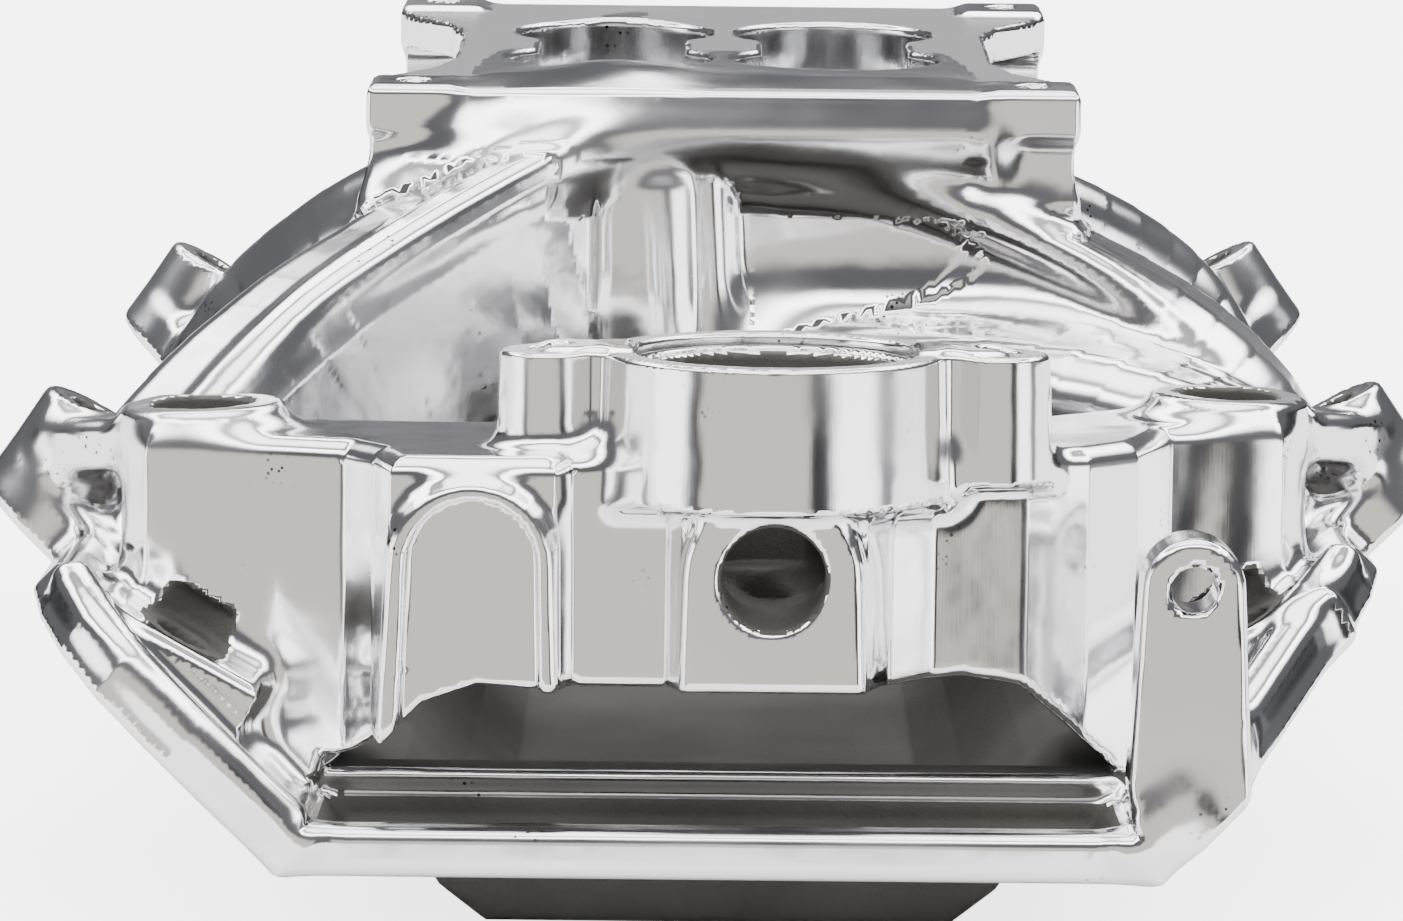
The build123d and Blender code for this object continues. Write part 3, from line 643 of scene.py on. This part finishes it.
def add(nodes, links, kind, settings=None, **inputs):
    """A node with its settings, and its inputs given as numbers or as links."""
    node = nodes.new(kind)
    for key, value in (settings or {}).items():
        setattr(node, key, value)
    for key, value in inputs.items():
        socket = node.inputs[key.replace("_", " ")]
        if isinstance(value, bpy.types.NodeSocket):
            links.new(value, socket)
        else:
            socket.default_value = value
    return node


def ramp_of(nodes, links, value, low, high):
    """A mask that rises from 0 to 1 between two values."""
    ranged = nodes.new("ShaderNodeMapRange")
    links.new(value, ranged.inputs["Value"])
    ranged.inputs["From Min"].default_value = low
    ranged.inputs["From Max"].default_value = high
    return ranged.outputs["Result"]


# Hand polishing leaves the metal faintly wavy, with a fine haze of strokes.
group, nodes, links, out = group_named(
    "hand_polish", [("Normal", "NodeSocketVector"), ("Haze", "NodeSocketFloat")]
)
spot = nodes.new("ShaderNodeTexCoord").outputs["Object"]
wave = add(nodes, links, "ShaderNodeTexNoise", Vector=spot, Scale=75.0, Detail=1.5)
ripple = add(nodes, links, "ShaderNodeTexNoise", Vector=spot, Scale=260.0, Detail=1.0)
bump = add(nodes, links, "ShaderNodeBump", Strength=1.0, Distance=0.00022, Height=wave.outputs["Fac"])
fine = add(nodes, links, "ShaderNodeBump", Strength=1.0, Distance=0.000016, Height=ripple.outputs["Fac"])
links.new(bump.outputs["Normal"], fine.inputs["Normal"])
drawn = add(nodes, links, "ShaderNodeMapping", Vector=spot, Scale=(2200.0, 2200.0, 90.0))
strokes = add(nodes, links, "ShaderNodeTexNoise", Vector=drawn.outputs["Vector"], Scale=1.0, Detail=2.0)
patches = add(nodes, links, "ShaderNodeTexNoise", Vector=spot, Scale=28.0, Detail=2.0)
brushed = add(
    nodes, links, "ShaderNodeBump", Strength=0.35, Distance=0.00001, Height=strokes.outputs["Fac"],
    Normal=fine.outputs["Normal"],
)
links.new(brushed.outputs["Normal"], out.inputs["Normal"])
links.new(ramp_of(nodes, links, patches.outputs["Fac"], 0.42, 0.68), out.inputs["Haze"])
hand_polish = group

# Here and there the polish opens small gas pores, in loose clusters.
group, nodes, links, out = group_named("gas_pores", [("Pores", "NodeSocketFloat")])
spot = nodes.new("ShaderNodeTexCoord").outputs["Object"]
dots = add(nodes, links, "ShaderNodeTexVoronoi", Vector=spot, Scale=620.0, Randomness=1.0)
where_dense = add(nodes, links, "ShaderNodeTexNoise", Vector=spot, Scale=52.0, Detail=1.0)
small = ramp_of(nodes, links, dots.outputs["Distance"], 0.26, 0.17)
dense = ramp_of(nodes, links, where_dense.outputs["Fac"], 0.67, 0.72)
pores = add(nodes, links, "ShaderNodeMath", {"operation": "MULTIPLY"})
links.new(small, pores.inputs[0])
links.new(dense, pores.inputs[1])
links.new(pores.outputs[0], out.inputs["Pores"])
gas_pores = group

# The sand mould leaves a dull, grainy skin where nothing has been polished. Its two tones are set dark, as
# the cast skin and as painted shade together.
group, nodes, links, out = group_named(
    "sand_skin", [("Normal", "NodeSocketVector"), ("Color", "NodeSocketColor")]
)
spot = nodes.new("ShaderNodeTexCoord").outputs["Object"]
grain = add(nodes, links, "ShaderNodeTexNoise", Vector=spot, Scale=1500.0, Detail=3.0, Roughness=0.7)
bump = add(nodes, links, "ShaderNodeBump", Strength=0.8, Distance=0.00025, Height=grain.outputs["Fac"])
links.new(bump.outputs["Normal"], out.inputs["Normal"])
stain = add(nodes, links, "ShaderNodeTexNoise", Vector=spot, Scale=30.0, Detail=4.0)
tone = add(nodes, links, "ShaderNodeMix", {"data_type": "RGBA"}, Factor=stain.outputs["Fac"])
# Dark tones: the grey-brown cast skin together with painted shade of the hollows and undersides it covers.
tone.inputs["A"].default_value = (0.045, 0.042, 0.039, 1)
tone.inputs["B"].default_value = (0.115, 0.108, 0.099, 1)
links.new(tone.outputs["Result"], out.inputs["Color"])
sand_skin = group

# Milling leaves fine parallel lines on the flat faces.
group, nodes, links, out = group_named("milled_lines", [("Normal", "NodeSocketVector")])
spot = nodes.new("ShaderNodeTexCoord").outputs["Object"]
stretched = add(nodes, links, "ShaderNodeMapping", Vector=spot, Scale=(60.0, 2600.0, 1500.0))
cuts = add(nodes, links, "ShaderNodeTexNoise", Vector=stretched.outputs["Vector"], Scale=1.0, Detail=2.0)
bump = add(nodes, links, "ShaderNodeBump", Strength=0.5, Distance=0.00002, Height=cuts.outputs["Fac"])
links.new(bump.outputs["Normal"], out.inputs["Normal"])
milled_lines = group


def instance(nodes, group):
    node = nodes.new("ShaderNodeGroup")
    node.node_tree = group
    return node


def finish_named(name):
    material = bpy.data.materials.new(name)
    material.use_nodes = True
    nodes = material.node_tree.nodes
    return material, nodes, material.node_tree.links, nodes["Principled BSDF"]


# -------------------------------------------------------------------------------- polished aluminium
# Near a mirror, with the pores showing as dark pits.
polished, nodes, links, shader = finish_named("polished_aluminium")
polish, pits = instance(nodes, hand_polish), instance(nodes, gas_pores)
colour = add(nodes, links, "ShaderNodeMix", {"data_type": "RGBA"}, Factor=pits.outputs["Pores"])
colour.inputs["A"].default_value = (0.86, 0.86, 0.87, 1)
colour.inputs["B"].default_value = (0.05, 0.045, 0.04, 1)
links.new(colour.outputs["Result"], shader.inputs["Base Color"])
shader.inputs["Metallic"].default_value = 1.0
haze = nodes.new("ShaderNodeMapRange")
links.new(polish.outputs["Haze"], haze.inputs["Value"])
haze.inputs["To Min"].default_value = 0.1
haze.inputs["To Max"].default_value = 0.2
links.new(haze.outputs["Result"], shader.inputs["Roughness"])
links.new(polish.outputs["Normal"], shader.inputs["Normal"])

# --------------------------------------------------------------------------------- as-cast aluminium and painted shade
# Grey-brown and grainy, inside the ducts and over the valley tray, with its dark tone also standing in as
# painted shade there.
cast_and_shade_finish, nodes, links, shader = finish_named("as_cast_aluminium")
sand = instance(nodes, sand_skin)
links.new(sand.outputs["Color"], shader.inputs["Base Color"])
links.new(sand.outputs["Normal"], shader.inputs["Normal"])
shader.inputs["Metallic"].default_value = 0.25
shader.inputs["Roughness"].default_value = 0.7

# --------------------------------------------------------------------------------- milled aluminium
# Bright but soft, on the faces that meet other parts.
milled, nodes, links, shader = finish_named("machined_aluminium")
lines = instance(nodes, milled_lines)
links.new(lines.outputs["Normal"], shader.inputs["Normal"])
shader.inputs["Base Color"].default_value = (0.82, 0.82, 0.83, 1)
shader.inputs["Metallic"].default_value = 1.0
shader.inputs["Roughness"].default_value = 0.27

# ------------------------------------------------------------------------------------------ the pieces
# The casting is cut by flat planes, one after another, and each cut face is closed. A plane is a
# point and a direction, and the pieces are named where the cutting stops.
pad_under = on_pad(0, 0, plate_depth + 0.7)
flange_cut = {
    side: (on_face(side, 0, 0, -12.4), slope * np.array([sign, 1, 1]))
    for side, sign in (("left", -1), ("right", 1))
}
front_cut = (np.array([0, -155.0, 0]), np.array([0.17, -1.0, 0]) / math.hypot(0.17, 1))
rear_cut = (np.array([0, 151.0, 0]), np.array([-0.17, 1.0, 0]) / math.hypot(0.17, 1))


def beyond(axis, at):
    """The plane across an axis at a place, facing the way its sign says."""
    way = np.zeros(3)
    way["xyz".index(axis[-1])] = -1 if axis[0] == "-" else 1
    return np.abs(way) * at, way


tree = (
    (pad_under, pad_up),
    "carburettor_pad",
    (
        flange_cut["left"],
        "head_flange_left",
        (
            flange_cut["right"],
            "head_flange_right",
            (
                beyond("-z", 31.0),
                (
                    beyond("-y", -206.5),
                    "front_end_rail",
                    (beyond("y", 214.5), "rear_end_rail", "valley_tray"),
                ),
                (
                    front_cut,
                    (
                        beyond("-x", -82),
                        "coolant_port_boss_left",
                        (
                            beyond("x", 73),
                            (beyond("-y", -226.5), "bracket_lug", "coolant_port_boss_right"),
                            (
                                beyond("z", cross_top + 0.8),
                                "thermostat_neck",
                                (
                                    beyond("-y", -236.6),
                                    (beyond("-x", -20), "blank_port_pad", "bypass_port_pad"),
                                    "water_crossover",
                                ),
                            ),
                        ),
                    ),
                    (
                        rear_cut,
                        (
                            beyond("-x", -50),
                            "rear_water_boss_left",
                            (beyond("x", 50), "rear_water_boss_right", "distributor_boss"),
                        ),
                        (
                            beyond("-x", plenum_low[0] + 1.5),
                            (beyond("-y", pad[1]), "runners_left_front", "runners_left_rear"),
                            (
                                beyond("x", plenum_high[0] - 1.5),
                                (beyond("-y", pad[1]), "runners_right_front", "runners_right_rear"),
                                "plenum_chamber",
                            ),
                        ),
                    ),
                ),
            ),
        ),
    ),
)
stands_for = {
    "plenum_chamber": ["plenum_chamber", "plenum_divider", "upper_chamber_floor", "vacuum_port_boss"],
    "head_flange_left": ["head_flange_left", "head_bolt_seats_left"],
    "head_flange_right": ["head_flange_right", "head_bolt_seats_right"],
}
for side in ("left", "right"):
    for end in ("front", "rear"):
        stands_for[f"runners_{side}_{end}"] = [f"runner_{side}_{end}_{rank}" for rank in ("outer", "inner")]


def half_of(work, plane, keep_beyond):
    """A copy of a mesh cut by a plane, with the side beyond it or before it kept and closed."""
    cut = work.copy()
    at, way = Vector(plane[0] / 1000), Vector(plane[1])
    geometry = cut.verts[:] + cut.edges[:] + cut.faces[:]
    made = bmesh.ops.bisect_plane(
        cut, geom=geometry, dist=1e-7, plane_co=at, plane_no=way,
        clear_inner=keep_beyond, clear_outer=not keep_beyond,
    )
    rim = [e for e in made["geom_cut"] if isinstance(e, bmesh.types.BMEdge) and e.is_boundary]
    facing = -way if keep_beyond else way
    lid = bmesh.ops.triangle_fill(cut, use_beauty=True, use_dissolve=False, edges=rim, normal=facing)
    mark = cut.faces.layers.int["cut_face"]
    for face in lid["geom"]:
        if isinstance(face, bmesh.types.BMFace):
            if face.normal.dot(facing) < 0:
                face.normal_flip()
            face[mark] = 1
    return cut


def cut_up(work, branch, found):
    if isinstance(branch, str):
        if len(work.faces):
            found.append((branch, work))
        return
    plane, outer, inner = branch
    cut_up(half_of(work, plane, True), outer, found)
    cut_up(half_of(work, plane, False), inner, found)
    work.free()


whole = bpy.data.meshes.new("whole")
whole.from_pydata((points / 1000).tolist(), [], quads.tolist())
work = bmesh.new()
work.from_mesh(whole)
work.faces.layers.int.new("cut_face")
found = []
cut_up(work, tree, found)
print("cut", len(found), "pieces", round(time.time() - began), "s")

# A face is milled if it lies in one of these planes. Sides and undersides in the valley, where no
# polisher reaches, stay as cast, and so do the ducts; their dark as-cast tone is also painted shade.
flat_tolerance, flat_facing = 0.6, 0.97
hidden_top, hidden_half, hidden_front = 80, 78, -200
straight_up = np.array([0, 0, 1.0])
flats = [(pad, pad_up), (place["thermostat_bolts"], straight_up)]
for side, sign in (("left", -1), ("right", 1)):
    flats.append((on_face(side, 0, 0), slope * np.array([sign, 1, 1])))
    flats.append((place[f"coolant_port_{side}"] + [0, 0, 6], straight_up))
for name, work in found:
    mesh = bpy.data.meshes.new(name)
    work.to_mesh(mesh)
    work.free()
    count = len(mesh.vertices)
    corners = np.empty(count * 3)
    mesh.vertices.foreach_get("co", corners)
    corners = corners.reshape(-1, 3) * 1000
    smooth = slope_at(corners)
    loop_at = np.empty(len(mesh.loops), np.int32)
    mesh.loops.foreach_get("vertex_index", loop_at)
    faces = len(mesh.polygons)
    starts, sizes = np.empty(faces, np.int32), np.empty(faces, np.int32)
    mesh.polygons.foreach_get("loop_start", starts)
    mesh.polygons.foreach_get("loop_total", sizes)
    facing, middles = np.empty(faces * 3), np.empty(faces * 3)
    mesh.polygons.foreach_get("normal", facing)
    mesh.polygons.foreach_get("center", middles)
    facing, middles = facing.reshape(-1, 3), middles.reshape(-1, 3) * 1000
    is_cut = np.empty(faces, np.int32)
    mesh.attributes["cut_face"].data.foreach_get("value", is_cut)
    directions = smooth[loop_at]
    owner = np.repeat(np.arange(faces), sizes)
    flat_loop = is_cut[owner] > 0
    directions[flat_loop] = facing[owner][flat_loop]
    finish = np.zeros(faces, np.int32)
    for at, way in flats:
        level = np.abs((middles - at) @ way) < flat_tolerance
        finish[level & (facing @ way > flat_facing)] = 2
    for distance, low, high in left_cast_and_shaded:
        near = np.flatnonzero(np.all((middles > low - 1) & (middles < high + 1), axis=1))
        finish[near[np.abs(distance(middles[near])) < 0.5]] = 1
    # Faces under the runners that face sideways or down get the dark finish, as cast skin and as painted
    # shade.
    hidden = (middles[:, 2] < hidden_top) & (np.abs(middles[:, 0]) < hidden_half)
    hidden &= middles[:, 1] > hidden_front
    finish[hidden & (facing[:, 2] < 0.3)] = 1
    if name == "valley_tray":
        finish[:] = 1
    finish[is_cut > 0] = 0
    for material in (polished, cast_and_shade_finish, milled):
        mesh.materials.append(material)
    mesh.polygons.foreach_set("material_index", finish)
    mesh.polygons.foreach_set("use_smooth", [True] * faces)
    mesh.attributes.remove(mesh.attributes["cut_face"])
    mesh.normals_split_custom_set(directions.tolist())
    piece = bpy.data.objects.new(name + "_skin", mesh)
    bpy.context.collection.objects.link(piece)
    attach(piece, "root")
    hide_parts(*stands_for.get(name, [name]))
    print(name, faces, "faces")
print("pieces", round(time.time() - began), "s")

# -------------------------------------------------------------------------------------------- studio
# A plain pale floor under a soft room. Round the horizon the room has white panels with dark gaps
# and warm grey walls between them, and above them a bright roof with one dark band.
floor_mesh = bpy.data.meshes.new("studio_floor")
floor_mesh.from_pydata([(-5, -0.36, 0), (5, -0.36, 0), (5, 7, 0), (-5, 7, 0)], [], [(0, 1, 2, 3)])
studio_floor = bpy.data.objects.new("studio_floor", floor_mesh)
bpy.context.collection.objects.link(studio_floor)
paint, nodes, links, shader = finish_named("studio_floor")
shader.inputs["Base Color"].default_value = (0.92, 0.92, 0.92, 1)
shader.inputs["Roughness"].default_value = 0.9
shader.inputs["Emission Color"].default_value = (1, 1, 1, 1)
# The floor is lifted to white as it is seen, but not in the metal's reflections.
glow = nodes.new("ShaderNodeMath")
glow.operation = "MULTIPLY"
glow.inputs[1].default_value = 3.4
links.new(nodes.new("ShaderNodeLightPath").outputs["Is Camera Ray"], glow.inputs[0])
links.new(glow.outputs[0], shader.inputs["Emission Strength"])
floor_mesh.materials.append(paint)

world = bpy.data.worlds.new("studio")
bpy.context.scene.world = world
world.use_nodes = True
nodes, links = world.node_tree.nodes, world.node_tree.links
background = nodes["Background"]
where = nodes.new("ShaderNodeTexCoord")
axes = nodes.new("ShaderNodeSeparateXYZ")
links.new(where.outputs["Generated"], axes.inputs[0])


def math_of(kind, a, b=None):
    node = nodes.new("ShaderNodeMath")
    node.operation = kind
    for socket, value in zip(node.inputs, (a, b)):
        if hasattr(value, "links"):
            links.new(value, socket)
        elif value is not None:
            socket.default_value = value
    return node.outputs[0]


azimuth = math_of("ARCTAN2", axes.outputs["X"], math_of("MULTIPLY", axes.outputs["Y"], -1.0))
turn = math_of("ADD", math_of("DIVIDE", azimuth, 2 * math.pi), 0.5)
wall_light = nodes.new("ShaderNodeValToRGB")
ramp = wall_light.color_ramp
white, beige, dark, dim = (1.0, 1.0, 1.0), (0.25, 0.235, 0.215), (0.012, 0.012, 0.013), (0.075, 0.075, 0.08)
stops = [
    (-180, dim), (-160, dim), (-150, dark), (-108, dark), (-100, dim), (-94, white), (-62, white),
    (-56, dim), (-50, dark), (-46, beige), (21, beige), (25, dark), (36, dark), (42, white), (66, white),
    (74, dim), (96, dim), (104, dark), (145, dark), (158, dim), (180, dim),
]
while len(ramp.elements) < len(stops):
    ramp.elements.new(0.5)
for element, (degrees, colour) in zip(ramp.elements, stops):
    element.position = degrees / 360 + 0.5
    element.color = (*colour, 1)
links.new(turn, wall_light.inputs[0])
gap_edge = ramp_of(nodes, links, axes.outputs["Z"], 0.1, 0.22)
height = ramp_of(nodes, links, axes.outputs["Z"], 0.5, 0.66)
shade = nodes.new("ShaderNodeMix")
shade.data_type = "RGBA"
links.new(gap_edge, shade.inputs["Factor"])
links.new(wall_light.outputs[0], shade.inputs["A"])
shade.inputs["B"].default_value = (0.035, 0.035, 0.038, 1)
roof = nodes.new("ShaderNodeValToRGB")
roof_stops = [(0.5, 1.7), (0.74, 1.9), (0.8, 0.12), (0.86, 0.2), (0.92, 1.1), (1.0, 1.3)]
while len(roof.color_ramp.elements) < len(roof_stops):
    roof.color_ramp.elements.new(0.5)
for element, (level, light) in zip(roof.color_ramp.elements, roof_stops):
    element.position = level
    element.color = (light, light, light, 1)
links.new(axes.outputs["Z"], roof.inputs[0])
mix = nodes.new("ShaderNodeMix")
mix.data_type = "RGBA"
links.new(height, mix.inputs["Factor"])
links.new(shade.outputs["Result"], mix.inputs["A"])
links.new(roof.outputs[0], mix.inputs["B"])
links.new(mix.outputs["Result"], background.inputs["Color"])
background.inputs["Strength"].default_value = 4.0
seen = nodes.new("ShaderNodeBackground")
seen.inputs["Color"].default_value = (1, 1, 1, 1)
seen.inputs["Strength"].default_value = 6.0
choice = nodes.new("ShaderNodeMixShader")
rays = nodes.new("ShaderNodeLightPath")
links.new(rays.outputs["Is Camera Ray"], choice.inputs[0])
links.new(background.outputs[0], choice.inputs[1])
links.new(seen.outputs[0], choice.inputs[2])
links.new(choice.outputs[0], nodes["World Output"].inputs[0])

# -------------------------------------------------------------------------------------------- camera
# In front of the manifold and a little above it, with a long lens and a slight roll.
camera_data = bpy.data.cameras.new("camera")
camera_data.sensor_width = 36
camera_data.lens = 154.4
camera_data.clip_end = 20
camera = bpy.data.objects.new("camera", camera_data)
bpy.context.collection.objects.link(camera)
camera.location = (-0.0039, -1.3494, 0.2475)
camera.rotation_mode = "QUATERNION"
pitch = Euler((math.radians(90 - 7.8), 0, 0)).to_quaternion()
camera.rotation_quaternion = pitch @ Quaternion((0, 0, 1), math.radians(0.6))
bpy.context.scene.camera = camera
